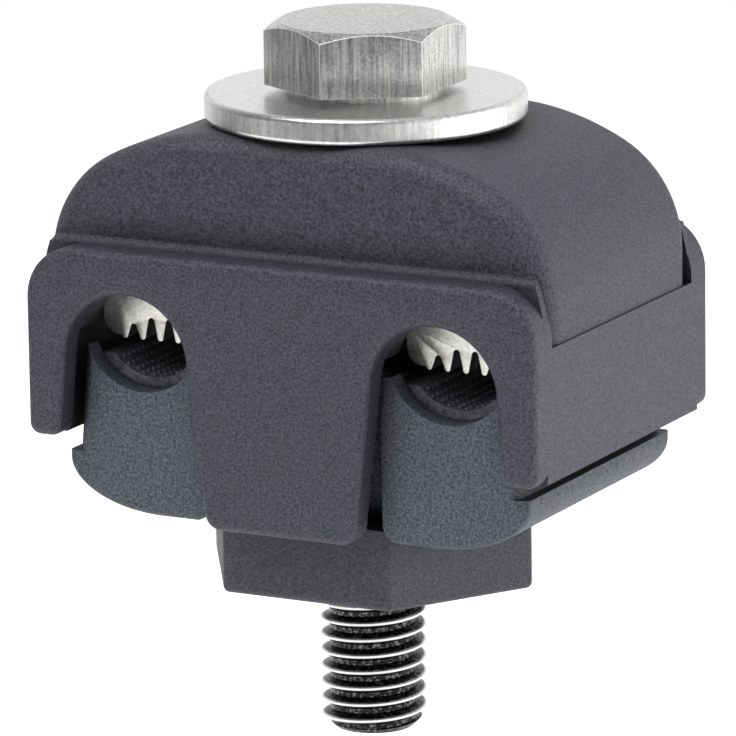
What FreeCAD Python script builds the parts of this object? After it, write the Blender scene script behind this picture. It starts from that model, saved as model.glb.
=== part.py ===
import FreeCAD, Part
import math
import os

# Branch tap connector: an upper housing with two toothed contact blades is drawn down
# by one M8 bolt on to a lower cradle with two conductor saddles.
# Lengths are in millimetres. Until the last step everything is drawn about the bolt's
# axis: X runs across the two channels, Y along the conductors, and heights are drops
# below the dome's flat crown, where the washer sits.

# Channels, which the two conductors lie in
channel_pitch = 25.4          # run axis to tap axis
channel_radius = 5.1          # arches in the end panels and saddles below them
arch_drop = 17.0              # centre of the arches
saddle_drop = 14.6            # centre of the saddles

# Upper housing
leg_width = 3.2               # from an arch's side out to the housing's side
body_depth = 29.5             # over the two end panels
crown_radius = 13.2           # shoulder of the dome
mould_step = 0.2              # the dome stands in by this above the parting line
ledge_depth = 2.95            # how far the end panels stand out from the dome
ledge_drop = 8.7              # top of the end panels
ledge_corner = 4.0            # round of the end panels' top corners
skirt_drop = 23.1             # lower edge of the skirt and the legs
leg_flare = 0.6               # the arches' legs open by this much down to the skirt
tongue_drop = 28.9            # lower end of the tongue between the arches
tongue_taper = 1.45           # each side of the tongue comes in by this much
tongue_corner = 1.3
leg_corner = 0.9
panel_wall = 2.0
side_wall = 2.2
ceiling_drop = 15.4           # roof of the space that takes the cradle
dome_edge = 1.6               # rounds of the dome's two curved edges
panel_edge = 0.6              # rounds of the end panels' rims
valley_round = 0.7            # hollow round between ledge and dome
passage_step = 0.5            # behind the end panels the two passages are wider than the arches by this

# Lower cradle
panel_gap = 0.75              # between an end panel and the cradle's face
cradle_gap = 0.4              # between the skirt and the cradle's side
cradle_draft = 0.8            # each side comes in by this towards the top
cradle_corner = 0.8
saddle_wall = 1.7             # thickness of each saddle along the conductor
horn_drop = 16.6              # top of the saddles' horns
bed_drop = 17.4               # top of the pads and of the walls beside them
trough_drop = 21.2            # floor under the pads
web_depth = 15.0              # the web round the bolt, between the two end notches
notch_gap = 0.3               # each notch is wider than the block's face by this a side
notch_round = 1.5
flange_gap = 1.6              # between the skirt and the hull's lip, clamp as drawn
hull_lip = 0.7                # the hull stands out from the cradle's side by this
hull_height = 4.4
hull_side = 0.5               # upright part of the hull's side
bilge_width = 7.8             # round between the hull's side and its bottom
hull_edge = 0.5

# Grip pads in the saddles' troughs
pad_width = 8.8
pad_gap = 0.05
pad_groove_radius = 4.2
pad_groove_drop = 15.05

# Contact blades
blade_thickness = 1.5
blade_spacing = 16.8          # middle to middle along the conductors
blade_top_drop = 9.5
blade_waist_drop = 13.2       # underside of the bar between the lobes
blade_corner = 1.5
lobe_half_width = 4.8
lobe_shoulder_drop = 14.9     # where the lobe's side starts to turn in
lobe_bend = (0.5, 15.9)       # in from the side and down, where it has turned half way
tooth_count = 5
tooth_pitch = 1.5
tip_drop = 16.45
tip_radius = 0.25
slot_radius = 0.25
inner_slot_drop = 14.75       # slots beside the middle tooth
outer_slot_drop = 15.3
blade_gap = 0.05              # round each blade in its slot

# Bolt, washer and nut, M8
bolt_diameter = 8.0
bolt_length = 48.7            # under the head
bolt_chamfer = 0.9
thread_gap = 0.04             # radial, between bolt and nut
hole_gap = 0.5                # radial, round the bolt in the mouldings
hex_flats = 13.0
head_height = 5.3
head_turn = 3.3               # degrees, as the bolt stands
head_face = 0.5               # washer face under the head
head_face_diameter = 11.8
hex_chamfer_angle = 30.0
hex_land = 0.97               # flat end face, as a share of the width across flats
washer_diameter = 24.0
washer_thickness = 2.0
washer_hole = 8.4
washer_edge = 0.4
nut_height = 6.5

# Nut housing
block_face = 13.8             # width of its front and back faces
block_width = 26.8            # over its side corners
block_depth = 21.3            # front face to back face
block_height = 6.15
block_seat = 0.5              # how deep it sits in the hull
block_gap = 0.05
block_edge = 0.5
nut_floor = 0.85
nut_gap = 0.05

# Worked out from the values above
half_pitch = channel_pitch / 2
half_width = half_pitch + channel_radius + leg_width
half_depth = body_depth / 2
dome_half_depth = half_depth - ledge_depth
dome_half_width = half_width - mould_step
crown_half_flat = dome_half_width - crown_radius
cavity_half_width = half_width - side_wall
cavity_half_depth = half_depth - panel_wall
cradle_half_width = cavity_half_width - cradle_gap
cradle_half_depth = cavity_half_depth - panel_gap
trough_half_depth = cradle_half_depth - saddle_wall
web_half_depth = web_depth / 2
hull_half_width = cradle_half_width + hull_lip
hull_top_drop = skirt_drop + flange_gap
hull_bottom_drop = hull_top_drop + hull_height
notch_half_width = block_face / 2 + notch_gap
bolt_radius = bolt_diameter / 2
hole_radius = bolt_radius + hole_gap
block_top_drop = hull_bottom_drop - block_seat
block_bottom_drop = block_top_drop + block_height
nut_bottom_drop = block_bottom_drop - nut_floor
nut_top_drop = nut_bottom_drop - nut_height
tongue_half_top = half_pitch - channel_radius
tongue_half_bottom = tongue_half_top - tongue_taper
leg_inner_top = half_pitch + channel_radius
leg_inner_bottom = leg_inner_top + leg_flare
spare = 1.0                   # how far a cut runs past what it cuts
hair = 0.01                   # edges that differ by less than this lie at the same place
half_bend = 1 - math.sin(math.radians(45))    # how far a quarter round's middle lies in, by its radius

# The origin is on the axis of the run channel's front arch, in the middle of its wall
arch_wall_middle = (half_depth - panel_edge + cavity_half_depth) / 2
origin_shift = FreeCAD.Vector(half_pitch, arch_wall_middle, arch_drop)


def point(x, drop, y=0.0):
    return FreeCAD.Vector(x, y, -drop)


def line(a, b):
    return Part.makeLine(a, b)


def arc(a, middle, b):
    return Part.Arc(a, middle, b).toShape()


def slab(edges, y_low, y_high):
    """Upright outline in X and Z, pushed along Y."""
    outline = Part.Wire(Part.__sortEdges__(edges))
    face = Part.Face(outline)
    face.translate(FreeCAD.Vector(0, y_low, 0))
    return face.extrude(FreeCAD.Vector(0, y_high - y_low, 0))


def closed(points):
    return [line(points[i], points[(i + 1) % len(points)]) for i in range(len(points))]


def block(x_half, y_half, drop_top, drop_bottom):
    """Box centred on the bolt's axis."""
    corner = FreeCAD.Vector(-x_half, -y_half, -drop_bottom)
    return Part.makeBox(2 * x_half, 2 * y_half, drop_bottom - drop_top, corner)


def rod(radius, drop_top, drop_bottom):
    return Part.makeCylinder(radius, drop_bottom - drop_top, FreeCAD.Vector(0, 0, -drop_bottom))


def bar_along_y(x, drop, radius, y_low, y_high):
    start = FreeCAD.Vector(x, y_low, -drop)
    return Part.makeCylinder(radius, y_high - y_low, start, FreeCAD.Vector(0, 1, 0))


def mirrored_y(shape):
    return shape.mirror(FreeCAD.Vector(0, 0, 0), FreeCAD.Vector(0, 1, 0))


def edges_where(shape, test):
    return [edge for edge in shape.Edges if test(edge.BoundBox)]


def hexagon(flats, height, drop_bottom, turn=0.0):
    reach = flats / math.sqrt(3)
    corners = []
    for i in range(6):
        angle = math.radians(turn + 60 * i)
        corners.append(FreeCAD.Vector(reach * math.cos(angle), reach * math.sin(angle), -drop_bottom))
    face = Part.Face(Part.makePolygon(corners + corners[:1]))
    return face.extrude(FreeCAD.Vector(0, 0, height))


def corner_cone(flats, height, drop_bottom, both_ends=False):
    """Turned blank whose cones take the corners off a hexagon."""
    reach = flats / math.sqrt(3)
    land = flats / 2 * hex_land
    rise = (reach - land) * math.tan(math.radians(hex_chamfer_angle))
    bottom = -drop_bottom
    start = land if both_ends else reach
    profile = [
        FreeCAD.Vector(0, 0, bottom),
        FreeCAD.Vector(start, 0, bottom),
        FreeCAD.Vector(reach, 0, bottom + (rise if both_ends else 0.0)),
        FreeCAD.Vector(reach, 0, bottom + height - rise),
        FreeCAD.Vector(land, 0, bottom + height),
        FreeCAD.Vector(0, 0, bottom + height),
    ]
    if not both_ends:
        profile.pop(2)
    face = Part.Face(Part.makePolygon(profile + profile[:1]))
    return face.revolve(FreeCAD.Vector(0, 0, 0), FreeCAD.Vector(0, 0, 1), 360)


def dome_slab(y_half):
    """Flat crown with a round shoulder each side, down to the parting line."""
    lean = crown_radius * (1 - half_bend)
    edges = [line(point(-crown_half_flat, 0), point(crown_half_flat, 0))]
    for side in (-1, 1):
        crown = point(side * crown_half_flat, 0)
        foot = point(side * dome_half_width, crown_radius)
        middle = point(side * (crown_half_flat + lean), crown_radius - lean)
        edges.append(arc(crown, middle, foot))
    edges.append(line(point(-dome_half_width, crown_radius), point(dome_half_width, crown_radius)))
    return slab(edges, -y_half, y_half)


def dome():
    """The dome with its two curved edges rounded."""
    shape = dome_slab(dome_half_depth)
    rims = edges_where(shape, lambda b: b.YLength < hair and b.ZMax > -crown_radius + hair)
    return shape.makeFillet(dome_edge, rims)


def valley():
    """Hollow round where the front ledge meets the dome."""
    lean = valley_round * half_bend
    y = -dome_half_depth
    outer = point(0, ledge_drop, y - valley_round)
    upper = point(0, ledge_drop - valley_round, y)
    edges = [arc(outer, point(0, ledge_drop - lean, y - lean), upper)]
    low_inner = point(0, crown_radius, y)
    low_outer = point(0, crown_radius, y - valley_round)
    edges += [line(upper, low_inner), line(low_inner, low_outer), line(low_outer, outer)]
    face = Part.Face(Part.Wire(Part.__sortEdges__(edges)))
    face.translate(FreeCAD.Vector(-half_width, 0, 0))
    return face.extrude(FreeCAD.Vector(2 * half_width, 0, 0)).common(dome_slab(half_depth))


def panel_outline():
    """Outline of an end panel: ledge, two legs, two arches and the tongue."""
    bend = ledge_corner * half_bend
    edges = []
    for side in (-1, 1):
        ledge_end = point(side * (half_width - ledge_corner), ledge_drop)
        side_top = point(side * half_width, ledge_drop + ledge_corner)
        foot_out = point(side * half_width, skirt_drop)
        foot_in = point(side * leg_inner_bottom, skirt_drop)
        leg_top = point(side * leg_inner_top, arch_drop)
        crest = point(side * half_pitch, arch_drop - channel_radius)
        tongue_top = point(side * tongue_half_top, arch_drop)
        toe = point(side * tongue_half_bottom, tongue_drop)
        edges.append(line(point(0, ledge_drop), ledge_end))
        edges.append(arc(ledge_end, point(side * (half_width - bend), ledge_drop + bend), side_top))
        edges.append(line(side_top, foot_out))
        edges.append(line(foot_out, foot_in))
        edges.append(line(foot_in, leg_top))
        edges.append(arc(leg_top, crest, tongue_top))
        edges.append(line(tongue_top, toe))
        edges.append(line(toe, point(0, tongue_drop)))
    return edges


def on_front(b):
    return b.YMax < -half_depth + hair


def end_panel():
    """Front panel with its ledge, feet and toe rounded; the rear one is its mirror."""
    shape = slab(panel_outline(), -half_depth, -cavity_half_depth)

    def upright(b):
        return b.XLength < hair and b.ZLength < hair

    feet = edges_where(shape, lambda b: upright(b) and abs(b.ZMin + skirt_drop) < hair)
    shape = shape.makeFillet(leg_corner, feet)
    toes = edges_where(shape, lambda b: upright(b) and abs(b.ZMin + tongue_drop) < hair)
    shape = shape.makeFillet(tongue_corner, toes)
    shape = shape.makeFillet(panel_edge, edges_where(shape, on_front))
    return shape


def shelf(y_low, y_high):
    """Top of an end panel carried back to the dome."""
    bend = ledge_corner * half_bend
    edges = [line(point(-half_width, crown_radius), point(half_width, crown_radius))]
    for side in (-1, 1):
        ledge_end = point(side * (half_width - ledge_corner), ledge_drop)
        side_top = point(side * half_width, ledge_drop + ledge_corner)
        edges.append(line(point(0, ledge_drop), ledge_end))
        edges.append(arc(ledge_end, point(side * (half_width - bend), ledge_drop + bend), side_top))
        edges.append(line(side_top, point(side * half_width, crown_radius)))
    return slab(edges, y_low, y_high)


def upper_housing():
    """Dome, end panels and skirt, hollow below for the cradle, with the blades' slots."""
    skirt = block(half_width, cavity_half_depth, crown_radius, skirt_drop)
    front = end_panel().fuse([shelf(-cavity_half_depth, -dome_half_depth), valley()])
    shape = dome().fuse([skirt, front, mirrored_y(front)])
    low = skirt_drop + spare
    cavity = block(cavity_half_width, cavity_half_depth, ceiling_drop, low)
    cuts = [cavity, rod(hole_radius, -spare, ceiling_drop + spare)]
    passage_radius = channel_radius + passage_step
    for side in (-1, 1):
        cuts.append(blade_slot(side * blade_spacing / 2))
        x = side * half_pitch
        cuts.append(bar_along_y(x, arch_drop, passage_radius, -cavity_half_depth, cavity_half_depth))
    return shape.cut(cuts).removeSplitter()


def top_ends(shape):
    """The two upper corners of a blade or of its slot."""
    high = -blade_top_drop - hair
    return edges_where(shape, lambda b: b.XLength < hair and b.ZLength < hair and b.ZMax > high)


def blade_slot(y):
    """Slot that a blade is pressed up into, open at the bottom."""
    half = half_pitch + lobe_half_width + blade_gap
    thick = blade_thickness / 2 + blade_gap
    corner = FreeCAD.Vector(-half, y - thick, -ceiling_drop - spare)
    shape = Part.makeBox(2 * half, 2 * thick, ceiling_drop + spare - blade_top_drop + blade_gap, corner)
    return shape.makeFillet(blade_corner, top_ends(shape))


def lobe_edges(x):
    """Toothed lower edge of one lobe, from its right shoulder to its left one."""
    half_teeth = (tooth_count - 1) / 2
    edges = []
    last = point(x - lobe_half_width, lobe_shoulder_drop)
    tip_side = point(x - half_teeth * tooth_pitch - tip_radius, tip_drop - tip_radius)
    bend = point(x - lobe_half_width + lobe_bend[0], lobe_bend[1])
    edges.append(arc(last, bend, tip_side))
    for i in range(tooth_count):
        tip_x = x + (i - half_teeth) * tooth_pitch
        left = point(tip_x - tip_radius, tip_drop - tip_radius)
        right = point(tip_x + tip_radius, tip_drop - tip_radius)
        edges.append(arc(left, point(tip_x, tip_drop), right))
        if i == tooth_count - 1:
            break
        slot_x = tip_x + tooth_pitch / 2
        beside_middle = abs(slot_x - x) < tooth_pitch
        top = inner_slot_drop if beside_middle else outer_slot_drop
        slot_left = point(slot_x - slot_radius, top + slot_radius)
        slot_right = point(slot_x + slot_radius, top + slot_radius)
        edges.append(line(right, slot_left))
        edges.append(arc(slot_left, point(slot_x, top), slot_right))
        edges.append(line(slot_right, point(tip_x + tooth_pitch - tip_radius, tip_drop - tip_radius)))
    bend = point(x + lobe_half_width - lobe_bend[0], lobe_bend[1])
    edges.append(arc(right, bend, point(x + lobe_half_width, lobe_shoulder_drop)))
    return edges


def contact_blade(y):
    """Flat blade: a bar over both channels with a toothed lobe in each."""
    outer = half_pitch + lobe_half_width
    inner = half_pitch - lobe_half_width
    edges = lobe_edges(-half_pitch) + lobe_edges(half_pitch)
    edges.append(line(point(-outer, lobe_shoulder_drop), point(-outer, blade_top_drop)))
    edges.append(line(point(-outer, blade_top_drop), point(outer, blade_top_drop)))
    edges.append(line(point(outer, blade_top_drop), point(outer, lobe_shoulder_drop)))
    edges.append(line(point(-inner, lobe_shoulder_drop), point(-inner, blade_waist_drop)))
    edges.append(line(point(-inner, blade_waist_drop), point(inner, blade_waist_drop)))
    edges.append(line(point(inner, blade_waist_drop), point(inner, lobe_shoulder_drop)))
    shape = slab(edges, y - blade_thickness / 2, y + blade_thickness / 2)
    return shape.makeFillet(blade_corner, top_ends(shape))


def hull():
    """Boat-shaped lower part of the cradle, with upright sides and round bilges."""
    flat_half = hull_half_width - bilge_width
    side_drop = hull_top_drop + hull_side
    bilge_height = hull_bottom_drop - side_drop
    edges = []
    for side in (-1, 1):
        top = point(side * hull_half_width, hull_top_drop)
        edges.append(line(point(0, hull_top_drop), top))
        edges.append(line(top, point(side * hull_half_width, side_drop)))
        edges.append(bilge(side, flat_half, side_drop, bilge_height))
        edges.append(line(point(side * flat_half, hull_bottom_drop), point(0, hull_bottom_drop)))
    shape = slab(edges, -cradle_half_depth, cradle_half_depth)

    def low_rim(b):
        return b.YLength < hair and b.ZMin < -hull_top_drop - hair

    return shape.makeFillet(hull_edge, edges_where(shape, low_rim))


def bilge(side, flat_half, side_drop, bilge_height):
    """Quarter of an ellipse from the hull's side to its bottom."""
    centre = point(side * flat_half, side_drop)
    widest = point(side * (flat_half + bilge_width), side_drop)
    lowest = point(side * flat_half, side_drop + bilge_height)
    curve = Part.Ellipse(widest, lowest, centre)
    low = curve.parameter(lowest)
    high = curve.parameter(widest)
    if low > high:
        low, high = high, low
    if high - low > math.pi:
        low, high = high, low + 2 * math.pi
    return curve.toShape(low, high)


def saddle_block():
    """Upper part of the cradle, narrower towards the top, corners rounded."""
    top_half = cradle_half_width - cradle_draft
    outline = closed([
        point(-cradle_half_width, hull_top_drop + spare),
        point(cradle_half_width, hull_top_drop + spare),
        point(top_half, horn_drop),
        point(-top_half, horn_drop),
    ])
    shape = slab(outline, -cradle_half_depth, cradle_half_depth)
    corners = edges_where(shape, lambda b: b.YLength < hair and b.ZLength > hull_height)
    return shape.makeFillet(cradle_corner, corners)


def lower_cradle():
    """Two saddles over the hull, notched at each end, with troughs for the grip pads."""
    shape = saddle_block().fuse(hull())
    cuts = [block(half_width, trough_half_depth, horn_drop - spare, bed_drop)]
    for side in (-1, 1):
        x = side * half_pitch
        cuts.append(bar_along_y(x, saddle_drop, channel_radius, -half_depth, half_depth))
        trough = block(pad_width / 2 + pad_gap, trough_half_depth, bed_drop - spare, trough_drop)
        trough.translate(FreeCAD.Vector(x, 0, 0))
        cuts.append(trough)
        cuts.append(end_notch(side))
    cuts.append(rod(hole_radius, horn_drop - spare, hull_bottom_drop + spare))
    cuts.append(nut_block_blank(block_gap, block_top_drop - block_gap, hull_bottom_drop + spare))
    pocket = hexagon(hex_flats + 2 * nut_gap, block_top_drop - nut_top_drop + spare, block_top_drop + spare)
    cuts.append(pocket)
    return shape.cut(cuts).removeSplitter()


def end_notch(end):
    """Notch between the saddles, behind the tongue, its lower corners rounded open."""
    depth = cradle_half_depth - web_half_depth + spare
    middle = end * (web_half_depth + depth / 2)
    shape = block(notch_half_width, depth / 2, horn_drop - spare, hull_bottom_drop)
    low = hull_bottom_drop
    corners = []
    for side in (-1, 1):
        x = side * notch_half_width
        out = x + side * notch_round
        lean = notch_round * half_bend
        curve = arc(point(x, low - notch_round), point(x + side * lean, low - lean), point(out, low))
        edges = [curve, line(point(out, low), point(x, low))]
        edges.append(line(point(x, low), point(x, low - notch_round)))
        corners.append(slab(edges, -depth / 2, depth / 2))
    shape = shape.fuse(corners)
    shape.translate(FreeCAD.Vector(0, middle, 0))
    return shape


def grip_pad(x):
    """Soft bed of one saddle, filling its trough."""
    shape = block(pad_width / 2, trough_half_depth - pad_gap, bed_drop, trough_drop)
    shape.translate(FreeCAD.Vector(x, 0, 0))
    return shape.cut(bar_along_y(x, pad_groove_drop, pad_groove_radius, -half_depth, half_depth))


def nut_block_blank(grow, drop_top, drop_bottom):
    """Six-sided prism of the nut housing, grown by a clearance."""
    face = block_face / 2 + grow / 2
    side = block_width / 2 + grow
    depth = block_depth / 2 + grow
    corners = [(-face, -depth), (face, -depth), (side, 0), (face, depth), (-face, depth), (-side, 0)]
    points = [FreeCAD.Vector(x, y, -drop_bottom) for x, y in corners]
    outline = Part.Face(Part.makePolygon(points + points[:1]))
    return outline.extrude(FreeCAD.Vector(0, 0, drop_bottom - drop_top))


def nut_housing():
    """Six-sided block under the hull that keeps the nut from turning."""
    shape = nut_block_blank(0, block_top_drop, block_bottom_drop)
    rims = edges_where(shape, lambda b: b.ZLength < hair and b.ZMax < -block_bottom_drop + hair)
    uprights = edges_where(shape, lambda b: b.XLength < hair and b.YLength < hair)
    shape = shape.makeFillet(block_edge, rims + uprights)
    pocket = hexagon(hex_flats + 2 * nut_gap, block_height, nut_bottom_drop)
    return shape.cut([pocket, rod(hole_radius, block_top_drop - spare, block_bottom_drop + spare)])


def hex_nut():
    shape = hexagon(hex_flats, nut_height, nut_bottom_drop)
    shape = shape.common(corner_cone(hex_flats, nut_height, nut_bottom_drop, both_ends=True))
    return shape.cut(rod(bolt_radius + thread_gap, nut_top_drop - spare, nut_bottom_drop + spare))


def flat_washer():
    shape = rod(washer_diameter / 2, -washer_thickness, 0)
    rims = edges_where(shape, lambda b: b.ZLength < hair)
    shape = shape.makeFillet(washer_edge, rims)
    return shape.cut(rod(washer_hole / 2, -washer_thickness - spare, spare))


def clamp_bolt():
    """Hexagon bolt with a washer face; its thread is drawn as a plain rod."""
    seat = -washer_thickness
    tip = seat + bolt_length
    shank = rod(bolt_radius, seat - head_face, tip)
    tip_rim = edges_where(shank, lambda b: b.ZLength < hair and b.ZMax < -tip + hair)
    shank = shank.makeChamfer(bolt_chamfer, tip_rim)
    face = rod(head_face_diameter / 2, seat - head_face, seat)
    head = hexagon(hex_flats, head_height - head_face, seat - head_face, head_turn)
    head = head.common(corner_cone(hex_flats, head_height - head_face, seat - head_face))
    return shank.fuse([face, head])


parts = {
    "upper_housing": upper_housing,
    "flat_washer": flat_washer,
    "contact_blade_front": lambda: contact_blade(-blade_spacing / 2),
    "contact_blade_rear": lambda: contact_blade(blade_spacing / 2),
    "lower_cradle": lower_cradle,
    "run_grip_pad": lambda: grip_pad(-half_pitch),
    "tap_grip_pad": lambda: grip_pad(half_pitch),
    "nut_housing": nut_housing,
    "hex_nut": hex_nut,
    "clamp_bolt": clamp_bolt,
}

os.makedirs("parts", exist_ok=True)
for name, make in parts.items():
    solid = make()
    solid.translate(origin_shift)
    print(name, len(solid.Solids), solid.isValid(), round(solid.Volume, 1))
    solid.exportStep("parts/" + name + ".step")
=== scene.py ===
import math
import bpy
from mathutils import Matrix, Vector


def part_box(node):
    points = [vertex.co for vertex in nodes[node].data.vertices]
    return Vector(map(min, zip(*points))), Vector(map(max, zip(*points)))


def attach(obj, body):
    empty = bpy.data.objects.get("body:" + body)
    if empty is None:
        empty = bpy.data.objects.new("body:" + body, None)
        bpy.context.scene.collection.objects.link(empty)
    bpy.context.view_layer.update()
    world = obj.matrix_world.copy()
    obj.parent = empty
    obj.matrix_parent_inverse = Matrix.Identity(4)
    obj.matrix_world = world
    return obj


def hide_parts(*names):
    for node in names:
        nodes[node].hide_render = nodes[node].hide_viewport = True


# Branch tap connector: looks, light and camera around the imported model.
# Settings are in millimetres, the scene is in metres.

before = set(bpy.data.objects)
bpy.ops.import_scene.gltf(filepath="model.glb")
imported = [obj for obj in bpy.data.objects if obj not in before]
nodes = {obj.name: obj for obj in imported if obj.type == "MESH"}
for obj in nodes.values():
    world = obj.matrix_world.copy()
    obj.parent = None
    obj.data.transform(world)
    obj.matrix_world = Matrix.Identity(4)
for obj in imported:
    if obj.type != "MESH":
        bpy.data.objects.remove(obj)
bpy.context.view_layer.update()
mm = 0.001
weld = 0.002        # points nearer than this are one point, in mm
fineWeld = 0.001    # the same where a mesh is still to be cut
flatWithin = 0.5    # faces that differ by less than this are one flat face, in degrees
facing = 0.9        # a face looks along an axis when its normal's share of it is above this
print("frame loaded,", len(nodes), "nodes")

# The bolt's axis and the dome's flat crown, which the measures below start from
washerLow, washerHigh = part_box("flat_washer")
boltX = (washerLow.x + washerHigh.x) / 2
boltY = (washerLow.y + washerHigh.y) / 2
crownZ = washerLow.z
channelAt = 12.7    # the run and tap channels lie this far to either side of the axis


def place(x, y, z):
    # a point about the bolt's axis, in mm, z up from the crown
    return Vector((boltX + x * mm, boltY + y * mm, crownZ + z * mm))


# Small helpers for modelling

def deselectAll():
    if bpy.context.object and bpy.context.object.mode != "OBJECT":
        bpy.ops.object.mode_set(mode="OBJECT")
    bpy.ops.object.select_all(action="DESELECT")


def makeActive(piece):
    deselectAll()
    piece.select_set(True)
    bpy.context.view_layer.objects.active = piece


def freshPiece(name):
    # the primitive that was just added, renamed, with its place moved into its mesh
    piece = bpy.context.object
    piece.name = name
    piece.data.name = name
    bpy.ops.object.transform_apply(location=True, rotation=True, scale=True)
    return piece


def applyModifier(piece, kind, **settings):
    makeActive(piece)
    modifier = piece.modifiers.new(kind.lower(), kind)
    for name, value in settings.items():
        setattr(modifier, name, value)
    bpy.ops.object.modifier_apply(modifier=modifier.name)


def combine(piece, other, operation, solver="EXACT"):
    applyModifier(piece, "BOOLEAN", object=other, operation=operation, solver=solver)
    bpy.data.objects.remove(other)


def selectFaces(piece, wanted):
    # only the faces that wanted() names, left selected in edit mode
    makeActive(piece)
    bpy.ops.object.mode_set(mode="EDIT")
    bpy.ops.mesh.select_mode(type="FACE")
    bpy.ops.mesh.select_all(action="DESELECT")
    bpy.ops.object.mode_set(mode="OBJECT")
    for polygon in piece.data.polygons:
        polygon.select = wanted(polygon)
    bpy.ops.object.mode_set(mode="EDIT")


def smooth(piece, degrees):
    makeActive(piece)
    bpy.ops.object.shade_smooth_by_angle(angle=math.radians(degrees))


def cleanUp(piece):
    # weld what a cut leaves doubled and turn every face outwards
    makeActive(piece)
    bpy.ops.object.mode_set(mode="EDIT")
    bpy.ops.mesh.select_all(action="SELECT")
    bpy.ops.mesh.remove_doubles(threshold=weld * mm)
    bpy.ops.mesh.normals_make_consistent(inside=False)
    bpy.ops.object.mode_set(mode="OBJECT")


def rod(name, radius, length, centre, sides, alongY=False):
    # a plain cylinder in mm about a point in metres, upright unless it lies along Y
    deselectAll()
    turn = (math.radians(90), 0, 0) if alongY else (0, 0, 0)
    bpy.ops.mesh.primitive_cylinder_add(vertices=sides, radius=radius * mm, depth=length * mm,
                                        location=centre, rotation=turn)
    return freshPiece(name)


def boxPiece(name, low, high):
    deselectAll()
    bpy.ops.mesh.primitive_cube_add(size=1, location=(low + high) / 2)
    bpy.context.object.scale = high - low
    return freshPiece(name)


# Materials

def colour(hexCode):
    # sRGB hex to linear
    values = [int(hexCode[i:i + 2], 16) / 255 for i in (1, 3, 5)]
    linear = [v / 12.92 if v <= 0.04045 else ((v + 0.055) / 1.055) ** 2.4 for v in values]
    return (*linear, 1.0)


def addNode(tree, kind, settings=None, links=None):
    # sockets go by name or number: in a Mix node 0 is the share, 2 and 3 the values, 6 and 7 the colours
    node = tree.nodes.new(kind)
    for name, value in (settings or {}).items():
        if isinstance(name, int) or name in node.inputs:
            node.inputs[name].default_value = value
        else:
            setattr(node, name, value)
    for name, source in (links or {}).items():
        tree.links.new(source, node.inputs[name])
    return node


def newMaterial(name):
    material = bpy.data.materials.new(name)
    material.use_nodes = True
    tree = material.node_tree
    tree.nodes.clear()
    return material, tree


def perMetre(size):
    # texture scale for a pattern whose grains are this many millimetres apart
    return 1 / (size * mm)


# What all the plastics share: where the noise turns from dark to light, how the gloss varies
# round its mean, how deep a grain is by its width, and how much painted shade darkens the creases
plasticFinish = {
    "darkAt": 0.36, "lightAt": 0.64, "glossier": 0.08, "duller": 0.1, "grainDepth": 0.3,
    "closedAt": 0.35, "openAt": 0.95, "creaseShadeTone": 0.12, "creaseShadeRays": 8,
}


def moulded(name, settings):
    # Plastic or rubber from a spark-eroded mould: a fine grain that scatters the light as small
    # specks, with soft clouds under it. Creases and the walls of the openings get painted shade:
    # ambient occlusion darkens the colour there.
    finish = plasticFinish
    material, tree = newMaterial(name)
    where = {"Vector": addNode(tree, "ShaderNodeTexCoord").outputs["Object"]}
    grain = addNode(tree, "ShaderNodeTexNoise",
                    {"Scale": perMetre(settings["grain"]), "Detail": 3.0, "Roughness": 0.7}, where)
    cloud = addNode(tree, "ShaderNodeTexNoise",
                    {"Scale": perMetre(settings["cloud"]), "Detail": 4.0, "Roughness": 0.65}, where)
    both = addNode(tree, "ShaderNodeMix", {"data_type": "FLOAT", 0: settings["grainShare"]},
                   {2: cloud.outputs["Fac"], 3: grain.outputs["Fac"]})
    tone = addNode(tree, "ShaderNodeValToRGB", None, {"Fac": both.outputs[0]})
    darkEnd, lightEnd = tone.color_ramp.elements
    darkEnd.position = finish["darkAt"]
    darkEnd.color = colour(settings["dark"])
    lightEnd.position = finish["lightAt"]
    lightEnd.color = colour(settings["light"])
    # painted shade: ambient occlusion multiplied into the colour darkens creases, recesses and opening walls
    crease = addNode(tree, "ShaderNodeAmbientOcclusion",
                     {"samples": finish["creaseShadeRays"], "Distance": settings["crease"] * mm})
    shade = addNode(tree, "ShaderNodeMapRange",
                    {"From Min": finish["closedAt"], "From Max": finish["openAt"],
                     "To Min": finish["creaseShadeTone"], "To Max": 1.0}, {"Value": crease.outputs["AO"]})
    shaded = addNode(tree, "ShaderNodeMix", {"data_type": "RGBA", "blend_type": "MULTIPLY", 0: 1.0},
                     {6: tone.outputs["Color"], 7: shade.outputs["Result"]})
    rough = addNode(tree, "ShaderNodeMapRange",
                    {"To Min": settings["rough"] - finish["glossier"],
                     "To Max": settings["rough"] + finish["duller"]}, {"Value": cloud.outputs["Fac"]})
    bump = addNode(tree, "ShaderNodeBump",
                   {"Strength": settings["bump"], "Distance": settings["grain"] * finish["grainDepth"] * mm},
                   {"Height": grain.outputs["Fac"]})
    shader = addNode(tree, "ShaderNodeBsdfPrincipled", {"IOR": 1.53},
                     {"Base Color": shaded.outputs[2], "Roughness": rough.outputs["Result"],
                      "Normal": bump.outputs["Normal"]})
    addNode(tree, "ShaderNodeOutputMaterial", None, {"Surface": shader.outputs["BSDF"]})
    return material


# What all the plain metals share
metalFinish = {"darkAt": 0.35, "lightAt": 0.6, "glossier": 0.1, "duller": 0.12}


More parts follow.
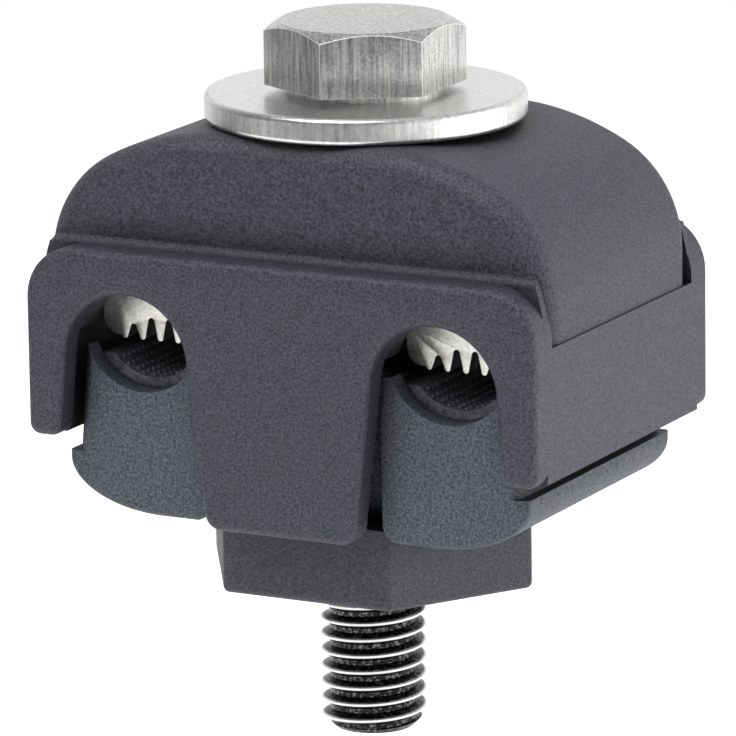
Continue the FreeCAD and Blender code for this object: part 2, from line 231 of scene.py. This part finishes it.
def metal(name, settings):
    # A metal face with streaks along the bolt's axis, as wire, die and punch leave them
    finish = metalFinish
    material, tree = newMaterial(name)
    where = {"Vector": addNode(tree, "ShaderNodeTexCoord").outputs["Object"]}
    drawn = addNode(tree, "ShaderNodeMapping", {"Scale": (1.0, 1.0, settings["stretch"])}, where)
    streak = addNode(tree, "ShaderNodeTexNoise",
                     {"Scale": perMetre(settings["streak"]), "Detail": 3.0, "Roughness": 0.6},
                     {"Vector": drawn.outputs["Vector"]})
    grain = addNode(tree, "ShaderNodeTexNoise",
                    {"Scale": perMetre(settings["grain"]), "Detail": 3.0, "Roughness": 0.6}, where)
    both = addNode(tree, "ShaderNodeMix", {"data_type": "FLOAT", 0: settings["grainShare"]},
                   {2: streak.outputs["Fac"], 3: grain.outputs["Fac"]})
    tone = addNode(tree, "ShaderNodeValToRGB", None, {"Fac": both.outputs[0]})
    darkEnd, lightEnd = tone.color_ramp.elements
    darkEnd.position = finish["darkAt"]
    darkEnd.color = colour(settings["dark"])
    lightEnd.position = finish["lightAt"]
    lightEnd.color = colour(settings["light"])
    rough = addNode(tree, "ShaderNodeMapRange",
                    {"To Min": settings["rough"] - finish["glossier"],
                     "To Max": settings["rough"] + finish["duller"]}, {"Value": both.outputs[0]})
    bump = addNode(tree, "ShaderNodeBump", {"Strength": settings["bump"], "Distance": settings["depth"] * mm},
                   {"Height": both.outputs[0]})
    shader = addNode(tree, "ShaderNodeBsdfPrincipled", {"Metallic": 1.0},
                     {"Base Color": tone.outputs["Color"], "Roughness": rough.outputs["Result"],
                      "Normal": bump.outputs["Normal"]})
    addNode(tree, "ShaderNodeOutputMaterial", None, {"Surface": shader.outputs["BSDF"]})
    return material


def threadMetal(name, settings):
    # Rolled thread: near black in the roots with a few bright flecks, and a painted highlight on its
    # crests, a near white band told apart by its distance from the bolt's axis
    material, tree = newMaterial(name)
    where = {"Vector": addNode(tree, "ShaderNodeTexCoord").outputs["Object"]}
    grain = addNode(tree, "ShaderNodeTexNoise",
                    {"Scale": perMetre(settings["grain"]), "Detail": 4.0, "Roughness": 0.7}, where)
    flecked = addNode(tree, "ShaderNodeValToRGB", None, {"Fac": grain.outputs["Fac"]})
    rootEnd, fleckEnd = flecked.color_ramp.elements
    rootEnd.position = settings["rootAt"]
    rootEnd.color = colour(settings["root"])
    fleckEnd.position = settings["fleckAt"]
    fleckEnd.color = colour(settings["fleck"])
    fromAxis = addNode(tree, "ShaderNodeVectorMath", {"operation": "SUBTRACT", 1: (boltX, boltY, 0)},
                       {0: where["Vector"]})
    level = addNode(tree, "ShaderNodeVectorMath", {"operation": "MULTIPLY", 1: (1, 1, 0)},
                    {0: fromAxis.outputs[0]})
    radius = addNode(tree, "ShaderNodeVectorMath", {"operation": "LENGTH"}, {0: level.outputs[0]})
    # painted highlight: the crests, farthest from the axis, are coloured near white
    crestHighlight = addNode(tree, "ShaderNodeMapRange",
                     {"From Min": settings["crestHighlightFrom"] * mm, "From Max": settings["crestHighlightTo"] * mm},
                     {"Value": radius.outputs["Value"]})
    tone = addNode(tree, "ShaderNodeMix", {"data_type": "RGBA", 7: colour(settings["crest"])},
                   {0: crestHighlight.outputs["Result"], 6: flecked.outputs["Color"]})
    bump = addNode(tree, "ShaderNodeBump", {"Strength": settings["bump"], "Distance": settings["depth"] * mm},
                   {"Height": grain.outputs["Fac"]})
    shader = addNode(tree, "ShaderNodeBsdfPrincipled", {"Metallic": 1.0, "Roughness": settings["rough"]},
                     {"Base Color": tone.outputs[2], "Normal": bump.outputs["Normal"]})
    addNode(tree, "ShaderNodeOutputMaterial", None, {"Surface": shader.outputs["BSDF"]})
    return material


def paint(piece, material):
    piece.data.materials.clear()
    piece.data.materials.append(material)


# housing and nut block: dull, near black with a blue cast, evenly specked
housingPlastic = moulded("glass-filled polyamide, dark", {
    "dark": "#1b1c24", "light": "#565763", "grain": 0.19, "cloud": 0.8, "grainShare": 0.95,
    "rough": 0.52, "bump": 0.9, "crease": 3.0,
})
# cradle: a lighter, bluer batch with a coarser, livelier grain
cradlePlastic = moulded("glass-filled polyamide, blue-grey", {
    "dark": "#1f242c", "light": "#6d737d", "grain": 0.21, "cloud": 0.6, "grainShare": 0.92,
    "rough": 0.55, "bump": 0.9, "crease": 3.0,
})
# pads: a little gloss on each pimple, painted shade darkening the colour between them
gripRubber = moulded("EPDM rubber, black", {
    "dark": "#34343d", "light": "#70707c", "grain": 0.3, "cloud": 1.5, "grainShare": 0.7,
    "rough": 0.4, "bump": 0.5, "crease": 0.3,
})
# bolt head: long bright and dark streaks down its sides
stainless = metal("stainless steel, cold formed", {
    "dark": "#969697", "light": "#e4e2de", "stretch": 0.06, "streak": 0.25, "grain": 0.22, "grainShare": 0.35,
    "rough": 0.32, "bump": 0.5, "depth": 0.05,
})
# washer: almost white on top, with the punch's marks down its rim
washerSteel = metal("stainless steel, punched sheet", {
    "dark": "#cbcbcb", "light": "#efeeeb", "stretch": 0.08, "streak": 0.3, "grain": 0.3, "grainShare": 0.4,
    "rough": 0.3, "bump": 0.4, "depth": 0.05,
})
# head's edges: pale lines of painted highlight on the bevelled rounds
edgeHighlight = metal("stainless steel, painted edge highlight", {
    "dark": "#e2e1de", "light": "#fbfaf8", "stretch": 0.5, "streak": 0.4, "grain": 0.2, "grainShare": 0.5,
    "rough": 0.6, "bump": 0.3, "depth": 0.03,
})
# thread: thin painted highlights on the crests over black roots
rolledThread = threadMetal("stainless steel, rolled thread", {
    "root": "#1e1e1f", "rootAt": 0.5, "fleck": "#8a8987", "fleckAt": 0.68, "crest": "#e6e5e2",
    "crestHighlightFrom": 3.76, "crestHighlightTo": 3.9, "grain": 0.3, "rough": 0.3, "bump": 0.4, "depth": 0.03,
})
# blades: soft white metal with a fine mottle and no direction
tinned = metal("tinned copper, satin", {
    "dark": "#bfbeb9", "light": "#eae8e2", "stretch": 1.0, "streak": 0.35, "grain": 0.2, "grainShare": 0.5,
    "rough": 0.32, "bump": 0.4, "depth": 0.03,
})
print("materials made")


# Clamp bolt: hexagon head, washer face and a full M8 thread
boltShape = {
    "length": 48.7, "seat": 2.0, "diameter": 7.92, "root": 6.6, "pitch": 1.25, "crest": 0.16,
    "flankAngle": 30, "phase": 0.5, "steps": 64, "threadTop": 3.5, "spareTurns": 3,
    "tipChamfer": 0.95, "tipGap": 0.02, "blankOver": 1.0,
    "neckRadius": 3.498, "neckIntoHead": 0.5, "neckIntoThread": 0.4,
    "flats": 13.0, "headHeight": 5.3, "faceHeight": 0.5, "faceDiameter": 11.8, "faceIntoHead": 0.3,
    "land": 12.5, "chamferAngle": 30, "coneOver": 0.6, "coneSkirt": 8, "turn": 31.3,
    "edge": 0.28, "edgeSegments": 3, "sharpest": 25, "threadSmooth": 35, "headSmooth": 28,
}


def makeThread(shape):
    # one pitch of the thread's section, swept round and up by the Screw modifier
    rootRadius = shape["root"] / 2 * mm
    crestRadius = shape["diameter"] / 2 * mm
    pitch = shape["pitch"] * mm
    flank = (crestRadius - rootRadius) * math.tan(math.radians(shape["flankAngle"]))
    crest = shape["crest"] * mm
    rootFlat = pitch - 2 * flank - crest
    turns = math.ceil((shape["length"] - shape["threadTop"]) / shape["pitch"]) + shape["spareTurns"]
    low = shape["seat"] - shape["length"]
    start = place(0, 0, low).z - pitch * (1 + shape["phase"])
    section = [(rootRadius, 0.0), (rootRadius, rootFlat), (crestRadius, rootFlat + flank),
               (crestRadius, rootFlat + flank + crest), (rootRadius, pitch)]
    # a plane emptied of its own points carries the section
    deselectAll()
    bpy.ops.mesh.primitive_plane_add(size=mm)
    thread = bpy.context.object
    bpy.ops.object.mode_set(mode="EDIT")
    bpy.ops.mesh.delete(type="VERT")
    bpy.ops.object.mode_set(mode="OBJECT")
    thread.data.vertices.add(len(section))
    thread.data.edges.add(len(section) - 1)
    for i, (radius, height) in enumerate(section):
        thread.data.vertices[i].co = (radius, 0, height)
    for i, edge in enumerate(thread.data.edges):
        edge.vertices = (i, i + 1)
    thread.location = (boltX, boltY, start)
    applyModifier(thread, "SCREW", angle=2 * math.pi, screw_offset=pitch, iterations=turns,
                  steps=shape["steps"], render_steps=shape["steps"], use_merge_vertices=False)
    makeActive(thread)
    bpy.ops.object.transform_apply(location=True, rotation=True, scale=True)
    bpy.ops.object.mode_set(mode="EDIT")
    bpy.ops.mesh.select_all(action="SELECT")
    bpy.ops.mesh.remove_doubles(threshold=fineWeld * mm)
    # the spare turns are cut off flat at both ends
    top = place(0, 0, shape["seat"] - shape["threadTop"])
    bottom = place(0, 0, low)
    for spot, normal in ((top, (0, 0, 1)), (bottom, (0, 0, -1))):
        bpy.ops.mesh.select_all(action="SELECT")
        bpy.ops.mesh.bisect(plane_co=spot, plane_no=normal, use_fill=True, clear_outer=True)
    bpy.ops.mesh.select_all(action="SELECT")
    bpy.ops.mesh.normals_make_consistent(inside=False)
    bpy.ops.object.mode_set(mode="OBJECT")
    return thread


def makeBolt(shape):
    thread = makeThread(shape)
    # a turned blank with the tip's chamfer takes the last crests down
    radius = shape["diameter"] / 2 + shape["tipGap"]
    top = shape["seat"] + shape["blankOver"]
    low = shape["seat"] - shape["length"]
    blank = rod("boltBlank", radius, top - low, place(0, 0, (top + low) / 2), sides=96)
    selectFaces(blank, lambda face: face.normal.z < -facing)
    bpy.ops.mesh.bevel(offset=shape["tipChamfer"] * mm, segments=1, affect="EDGES")
    bpy.ops.object.mode_set(mode="OBJECT")
    combine(thread, blank, "INTERSECT")
    # plain neck up into the head
    top = shape["seat"] + shape["neckIntoHead"]
    low = shape["seat"] - shape["threadTop"] - shape["neckIntoThread"]
    neck = rod("boltNeck", shape["neckRadius"], top - low, place(0, 0, (top + low) / 2), sides=64)
    combine(thread, neck, "UNION")
    cleanUp(thread)
    smooth(thread, shape["threadSmooth"])
    paint(thread, rolledThread)
    head = makeHead(shape)
    makeActive(thread)
    head.select_set(True)
    bpy.ops.object.join()
    thread.name = "threadedBolt"
    return thread


def makeHead(shape):
    # a six-sided prism stands with a corner to the front, so half a side more turns a flat there
    halfSide = 30
    reach = shape["flats"] / math.sqrt(3)
    bottom = shape["seat"] + shape["faceHeight"]
    top = shape["seat"] + shape["headHeight"]
    deselectAll()
    bpy.ops.mesh.primitive_cylinder_add(vertices=6, radius=reach * mm, depth=(top - bottom) * mm,
                                        location=place(0, 0, (top + bottom) / 2),
                                        rotation=(0, 0, math.radians(shape["turn"] + halfSide)))
    head = freshPiece("boltHead")
    # cone that takes the corners off
    land = shape["land"] / 2
    wide = reach + shape["coneOver"]
    rise = (wide - land) * math.tan(math.radians(shape["chamferAngle"]))
    deselectAll()
    bpy.ops.mesh.primitive_cone_add(vertices=160, radius1=wide * mm, radius2=land * mm, depth=rise * mm,
                                    location=place(0, 0, top - rise / 2))
    cone = freshPiece("chamferCone")
    selectFaces(cone, lambda face: face.normal.z < -facing)
    bpy.ops.mesh.extrude_region_move(TRANSFORM_OT_translate={"value": (0, 0, -shape["coneSkirt"] * mm)})
    bpy.ops.object.mode_set(mode="OBJECT")
    combine(head, cone, "INTERSECT")
    cleanUp(head)
    # the rounds that the bevel makes take the second material, a paler metal that paints a highlight along
    # them
    paint(head, stainless)
    head.data.materials.append(edgeHighlight)
    applyModifier(head, "BEVEL", width=shape["edge"] * mm, segments=shape["edgeSegments"], material=1,
                  limit_method="ANGLE", angle_limit=math.radians(shape["sharpest"]))
    top = bottom + shape["faceIntoHead"]
    low = shape["seat"]
    face = rod("washerFace", shape["faceDiameter"] / 2, top - low, place(0, 0, (top + low) / 2), sides=128)
    combine(head, face, "UNION")
    cleanUp(head)
    smooth(head, shape["headSmooth"])
    return head


bolt = makeBolt(boltShape)
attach(bolt, "bolt")
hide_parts("clamp_bolt")
print("bolt made,", len(bolt.data.polygons), "faces")


def weldedCopy(nodeName, pieceName):
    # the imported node's own mesh is loose triangles and stays as it is; a copy is welded and its
    # flat faces are made whole again
    deselectAll()
    piece = bpy.data.objects.new(pieceName, nodes[nodeName].data.copy())
    bpy.context.collection.objects.link(piece)
    makeActive(piece)
    bpy.ops.object.mode_set(mode="EDIT")
    bpy.ops.mesh.select_all(action="SELECT")
    bpy.ops.mesh.customdata_custom_splitnormals_clear()
    bpy.ops.mesh.remove_doubles(threshold=fineWeld * mm)
    bpy.ops.mesh.dissolve_limited(angle_limit=math.radians(flatWithin))
    bpy.ops.object.mode_set(mode="OBJECT")
    return piece


# Contact blades: stamped strip, its edges tumbled round
bladeShape = {"edge": 0.2, "segments": 3, "sharpest": 60, "smooth": 40}


def makeBlade(end, shape):
    blade = weldedCopy("contact_blade_" + end, "toothedBlade_" + end)
    applyModifier(blade, "BEVEL", width=shape["edge"] * mm, segments=shape["segments"], limit_method="ANGLE",
                  angle_limit=math.radians(shape["sharpest"]), use_clamp_overlap=True)
    smooth(blade, shape["smooth"])
    paint(blade, tinned)
    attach(blade, "upper_half")
    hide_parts("contact_blade_" + end)
    return blade


for end in ("front", "rear"):
    blade = makeBlade(end, bladeShape)
    print("blade made,", len(blade.data.polygons), "faces")


# Grip pads: rubber beds, their grooves set with rows of small pimples
padShape = {
    "grooveRadius": 4.2, "grooveDrop": 14.75, "edge": 0.15, "edgeSegments": 2, "margin": 0.45,
    "pimpleGap": 0.72, "pimpleWidth": 0.5, "pimpleTip": 0.26, "pimpleHeight": 0.2, "pimpleSunk": 0.06,
    "pimpleEdge": 0.05, "pimpleSmooth": 50, "sharpest": 35, "smooth": 45,
}


def makeBed(nodeName, side, shape):
    low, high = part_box(nodeName)
    bed = boxPiece(nodeName.replace("grip_pad", "pimpledPad"), low, high)
    groove = place(side * channelAt, 0, -shape["grooveDrop"])
    length = 2 * (high.y - low.y) / mm
    cutter = rod("groove", shape["grooveRadius"], length, groove, sides=160, alongY=True)
    combine(bed, cutter, "DIFFERENCE")
    cleanUp(bed)
    applyModifier(bed, "BEVEL", width=shape["edge"] * mm, segments=shape["edgeSegments"],
                  limit_method="ANGLE", angle_limit=math.radians(shape["sharpest"]))
    return bed, groove, low, high


def makePimple(shape):
    # a drop of rubber with a rounded tip, pointing at the groove's axis from its lowest line
    height = shape["pimpleHeight"] + shape["pimpleSunk"]
    middle = height / 2 - shape["pimpleSunk"] - shape["grooveRadius"]
    pimple = rod("pimple", shape["pimpleWidth"] / 2, height, (0, 0, middle * mm), sides=8)
    narrow = shape["pimpleTip"] / shape["pimpleWidth"]
    selectFaces(pimple, lambda face: face.normal.z > facing)
    bpy.ops.transform.resize(value=(narrow, narrow, 1))
    bpy.ops.mesh.bevel(offset=shape["pimpleEdge"] * mm, segments=1, affect="EDGES")
    bpy.ops.object.mode_set(mode="OBJECT")
    smooth(pimple, shape["pimpleSmooth"])
    return pimple


def makePad(nodeName, side, shape):
    bed, groove, low, high = makeBed(nodeName, side, shape)
    pimple = makePimple(shape)
    radius = shape["grooveRadius"]
    # the rows run from rim to rim of the groove, turned about its axis
    rim = math.acos((groove.z - high.z) / mm / radius) - shape["margin"] / radius
    across = int(2 * rim * radius / shape["pimpleGap"])
    length = (high.y - low.y) / mm - 2 * shape["margin"]
    along = int(length / shape["pimpleGap"])
    copies = []
    for i in range(across + 1):
        turn = -rim + 2 * rim * i / across
        for j in range(along + 1 - i % 2):
            # every other row stands half a gap along
            y = low.y + (shape["margin"] + (j + i % 2 / 2) * length / along) * mm
            copy = pimple.copy()
            copy.data = pimple.data.copy()
            copy.matrix_world = Matrix.Translation((groove.x, y, groove.z)) @ Matrix.Rotation(turn, 4, "Y")
            bpy.context.collection.objects.link(copy)
            copies.append(copy)
    bpy.data.objects.remove(pimple)
    makeActive(bed)
    for copy in copies:
        copy.select_set(True)
    bpy.ops.object.join()
    smooth(bed, shape["smooth"])
    paint(bed, gripRubber)
    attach(bed, "lower_half")
    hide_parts(nodeName)
    return bed


for nodeName, side in (("run_grip_pad", -1), ("tap_grip_pad", 1)):
    pad = makePad(nodeName, side, padShape)
    print("pad made,", len(pad.data.polygons), "faces")


# Upper housing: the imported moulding, its dome made anew with the fuller shoulders of the real one.
# From the crown's edge the shoulder is a wide arc, then a tight one into the upright flank.
# The old dome is cut away inside the ledges and the new one laps them by a little. Only the
# manifold way of joining keeps the thin faces of its rims.
domeShape = {
    "crownFlat": 6.5, "shoulder": 20.5, "flank": 9.0, "halfWidth": 20.86, "halfDepth": 11.82,
    "foot": 13.35, "footLap": 0.1, "rim": 1.7, "rimSegments": 7, "steps": 14, "smooth": 32,
    "cutHalf": 30, "cutDepth": 11.75, "cutDrop": 12.6, "cutOver": 2,
    "slotHalf": 17.55, "slotAt": 8.4, "slotWidth": 1.6, "slotDrop": 9.45, "slotUnder": 1,
    "hole": 4.5, "passageDrop": 17.0, "passageRadius": 5.6, "cutLength": 40,
}


def domeProfile(shape):
    # one side of the dome, from the crown's edge outwards, as (x, z) in mm
    wide, tight = shape["shoulder"], shape["flank"]
    tightX = shape["halfWidth"] - tight
    turn = math.acos((tightX - shape["crownFlat"]) / (wide - tight))
    tightZ = -wide + (wide - tight) * math.sin(turn)
    points = []
    for i in range(shape["steps"]):
        angle = math.pi / 2 + (turn - math.pi / 2) * i / shape["steps"]
        points.append((shape["crownFlat"] + wide * math.cos(angle), -wide + wide * math.sin(angle)))
    for i in range(shape["steps"] + 1):
        angle = turn * (1 - i / shape["steps"])
        points.append((tightX + tight * math.cos(angle), tightZ + tight * math.sin(angle)))
    points.append((shape["halfWidth"], -shape["foot"]))
    return points


def makeDome(shape):
    # the outline is pushed along Y, then its rims are rounded and its openings cut
    half = domeProfile(shape)
    outline = half + [(-x, z) for x, z in reversed(half)]
    deselectAll()
    bpy.ops.mesh.primitive_circle_add(vertices=len(outline), radius=mm, fill_type="NGON")
    dome = bpy.context.object
    for vertex, (x, z) in zip(dome.data.vertices, outline):
        vertex.co = place(x, -shape["halfDepth"], z)
    makeActive(dome)
    bpy.ops.object.mode_set(mode="EDIT")
    bpy.ops.mesh.select_all(action="SELECT")
    bpy.ops.mesh.extrude_region_move(TRANSFORM_OT_translate={"value": (0, 2 * shape["halfDepth"] * mm, 0)})
    bpy.ops.object.mode_set(mode="OBJECT")
    cleanUp(dome)
    # the two curved rims are rounded, the straight foot between them isn't
    low = place(0, 0, shape["footLap"] - shape["foot"]).z
    selectFaces(dome, lambda face: abs(face.normal.y) > facing)
    bpy.ops.mesh.region_to_loop()
    bpy.ops.object.mode_set(mode="OBJECT")
    for edge in dome.data.edges:
        ends = [dome.data.vertices[i].co.z for i in edge.vertices]
        if max(ends) < low:
            edge.select = False
    bpy.ops.object.mode_set(mode="EDIT")
    bpy.ops.mesh.bevel(offset=shape["rim"] * mm, segments=shape["rimSegments"], affect="EDGES")
    bpy.ops.object.mode_set(mode="OBJECT")
    # a blade's slot at either end, a conductor's passage on either side and the bolt's hole
    for side in (-1, 1):
        middle = side * shape["slotAt"]
        halfSlot = shape["slotWidth"] / 2
        low = place(-shape["slotHalf"], middle - halfSlot, -shape["foot"] - shape["slotUnder"])
        high = place(shape["slotHalf"], middle + halfSlot, -shape["slotDrop"])
        combine(dome, boxPiece("slot", low, high), "DIFFERENCE", "MANIFOLD")
        axis = place(side * channelAt, 0, -shape["passageDrop"])
        passage = rod("passage", shape["passageRadius"], shape["cutLength"], axis, sides=128, alongY=True)
        combine(dome, passage, "DIFFERENCE", "MANIFOLD")
    hole = rod("boltHole", shape["hole"], shape["cutLength"], place(0, 0, 0), sides=96)
    combine(dome, hole, "DIFFERENCE", "MANIFOLD")
    return dome


def makeHousing(shape):
    housing = weldedCopy("upper_housing", "mouldedHousing")
    low = place(-shape["cutHalf"], -shape["cutDepth"], -shape["cutDrop"])
    high = place(shape["cutHalf"], shape["cutDepth"], shape["cutOver"])
    combine(housing, boxPiece("domeCut", low, high), "DIFFERENCE", "MANIFOLD")
    combine(housing, makeDome(shape), "UNION", "MANIFOLD")
    cleanUp(housing)
    smooth(housing, shape["smooth"])
    paint(housing, housingPlastic)
    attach(housing, "upper_half")
    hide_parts("upper_housing")
    return housing


housing = makeHousing(domeShape)
print("housing made,", len(housing.data.polygons), "faces")


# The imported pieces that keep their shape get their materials
finishes = {
    "nut_housing": housingPlastic, "lower_cradle": cradlePlastic,
    "flat_washer": washerSteel, "hex_nut": stainless,
}
for name, material in finishes.items():
    paint(nodes[name], material)


# Floor, light and camera
studio = {
    "floorGap": 18, "floorSize": 480, "floorShift": (40, 60), "floorTone": "#e6e6e6", "floorRough": 0.9,
    "floorGlow": 0.7, "ambient": 0.51,
    "shadeAzimuth": -25, "shadeSpread": (-0.45, 0.75), "shadeTone": 0.2,
    "skySpread": (0.3, 0.85), "skyTone": 0.55,
    "right": {"at": (430, 160, 40), "size": 420, "power": 0.5},
    "top": {"at": (-40, -260, 420), "size": 420, "power": 1.55},
    "low": {"at": (330, 80, -110), "size": 240, "power": 0.3},
}
# The camera as fitted to the photograph: degrees, mm and the picture's pixels, near and far in m
view = {
    "azimuth": 27.742, "elevation": 13.131, "roll": -0.823, "distance": 498.723, "aimBelowCrown": 18.0,
    "focal": 6685.419, "imageWidth": 736, "centreX": 369.394, "centreY": 352.206, "sensor": 36.0,
    "nearest": 0.01, "furthest": 20,
}


def viewAxes():
    # to the right, up and back towards the camera, before its roll
    azimuth = math.radians(view["azimuth"])
    elevation = math.radians(view["elevation"])
    back = Vector((math.sin(azimuth) * math.cos(elevation), -math.cos(azimuth) * math.cos(elevation),
                   math.sin(elevation)))
    right = Vector((math.cos(azimuth), math.sin(azimuth), 0))
    return right, back.cross(right), back


def makeCamera():
    right, up, back = viewAxes()
    roll = math.radians(view["roll"])
    sideways = right * math.cos(roll) + up * math.sin(roll)
    upright = up * math.cos(roll) - right * math.sin(roll)
    spot = place(0, 0, -view["aimBelowCrown"]) + back * view["distance"] * mm
    bpy.ops.object.camera_add()
    camera = bpy.context.object
    camera.name = "camera"
    turn = Matrix((sideways, upright, back)).transposed()
    camera.matrix_world = Matrix.Translation(spot) @ turn.to_4x4()
    half = view["imageWidth"] / 2
    camera.data.sensor_width = view["sensor"]
    camera.data.lens = view["focal"] / view["imageWidth"] * view["sensor"]
    camera.data.shift_x = (half - view["centreX"]) / view["imageWidth"]
    camera.data.shift_y = (view["centreY"] - half) / view["imageWidth"]
    camera.data.clip_start = view["nearest"]
    camera.data.clip_end = view["furthest"]
    bpy.context.scene.camera = camera


def makeLamp(name, settings):
    spot = place(*settings["at"])
    aim = place(0, 0, -view["aimBelowCrown"])
    bpy.ops.object.light_add(type="AREA", location=spot)
    lamp = bpy.context.object
    lamp.name = name
    lamp.rotation_euler = (aim - spot).to_track_quat("-Z", "Y").to_euler()
    lamp.data.shape = "DISK"
    lamp.data.size = settings["size"] * mm
    lamp.data.energy = settings["power"]


def seenDirectly(tree, rays):
    # 1 for the camera, mirrors and glass, 0 for the light that falls on things
    sharp = addNode(tree, "ShaderNodeMath", {"operation": "MAXIMUM"},
                    {0: rays.outputs["Is Camera Ray"], 1: rays.outputs["Is Glossy Ray"]})
    clear = addNode(tree, "ShaderNodeMath", {"operation": "MAXIMUM"},
                    {0: sharp.outputs[0], 1: rays.outputs["Is Transmission Ray"]})
    return clear.outputs[0]


def makeWorld():
    # a tent that is white behind and beside the part, dimmer overhead and dark at its open front;
    # the camera sees it white all over, and the light that it sheds is even
    world = bpy.data.worlds.new("white tent")
    bpy.context.scene.world = world
    world.use_nodes = True
    tree = world.node_tree
    tree.nodes.clear()
    rays = addNode(tree, "ShaderNodeLightPath")
    azimuth = math.radians(studio["shadeAzimuth"])
    opening = (math.sin(azimuth), -math.cos(azimuth), 0)
    where = addNode(tree, "ShaderNodeTexCoord").outputs["Generated"]
    towards = addNode(tree, "ShaderNodeVectorMath", {"operation": "DOT_PRODUCT", 1: opening}, {0: where})
    low, high = studio["shadeSpread"]
    front = addNode(tree, "ShaderNodeMapRange",
                    {"interpolation_type": "SMOOTHSTEP", "From Min": low, "From Max": high, "To Min": 1.0,
                     "To Max": studio["shadeTone"]}, {"Value": towards.outputs["Value"]})
    height = addNode(tree, "ShaderNodeSeparateXYZ", None, {0: where})
    low, high = studio["skySpread"]
    sky = addNode(tree, "ShaderNodeMapRange",
                  {"interpolation_type": "SMOOTHSTEP", "From Min": low, "From Max": high, "To Min": 1.0,
                   "To Max": studio["skyTone"]}, {"Value": height.outputs["Z"]})
    tent = addNode(tree, "ShaderNodeMath", {"operation": "MULTIPLY"},
                   {0: front.outputs["Result"], 1: sky.outputs["Result"]})
    shown = addNode(tree, "ShaderNodeMath", {"operation": "MAXIMUM"},
                    {0: tent.outputs[0], 1: rays.outputs["Is Camera Ray"]})
    strength = addNode(tree, "ShaderNodeMix", {"data_type": "FLOAT", 2: studio["ambient"]},
                       {0: seenDirectly(tree, rays), 3: shown.outputs[0]})
    background = addNode(tree, "ShaderNodeBackground", {"Color": colour("#ffffff")},
                         {"Strength": strength.outputs[0]})
    addNode(tree, "ShaderNodeOutputWorld", None, {"Surface": background.outputs["Background"]})


def makeFloor():
    # a white board under the part, set back so that the part's front doesn't mirror it
    height = boltShape["seat"] - boltShape["length"] - studio["floorGap"]
    spot = place(*studio["floorShift"], height)
    deselectAll()
    bpy.ops.mesh.primitive_plane_add(size=studio["floorSize"] * mm, location=spot)
    floor = freshPiece("floor")
    material, tree = newMaterial("matt white board")
    seen = seenDirectly(tree, addNode(tree, "ShaderNodeLightPath"))
    glow = addNode(tree, "ShaderNodeMath", {"operation": "MULTIPLY", 1: studio["floorGlow"]}, {0: seen})
    shader = addNode(tree, "ShaderNodeBsdfPrincipled",
                     {"Base Color": colour(studio["floorTone"]), "Roughness": studio["floorRough"],
                      "Emission Color": colour("#ffffff")}, {"Emission Strength": glow.outputs[0]})
    addNode(tree, "ShaderNodeOutputMaterial", None, {"Surface": shader.outputs["BSDF"]})
    paint(floor, material)


makeCamera()
for lampName in ("right", "top", "low"):
    makeLamp(lampName, studio[lampName])
makeWorld()
makeFloor()
bpy.context.scene.view_settings.view_transform = "Standard"
print("camera, lamps, world and floor made")
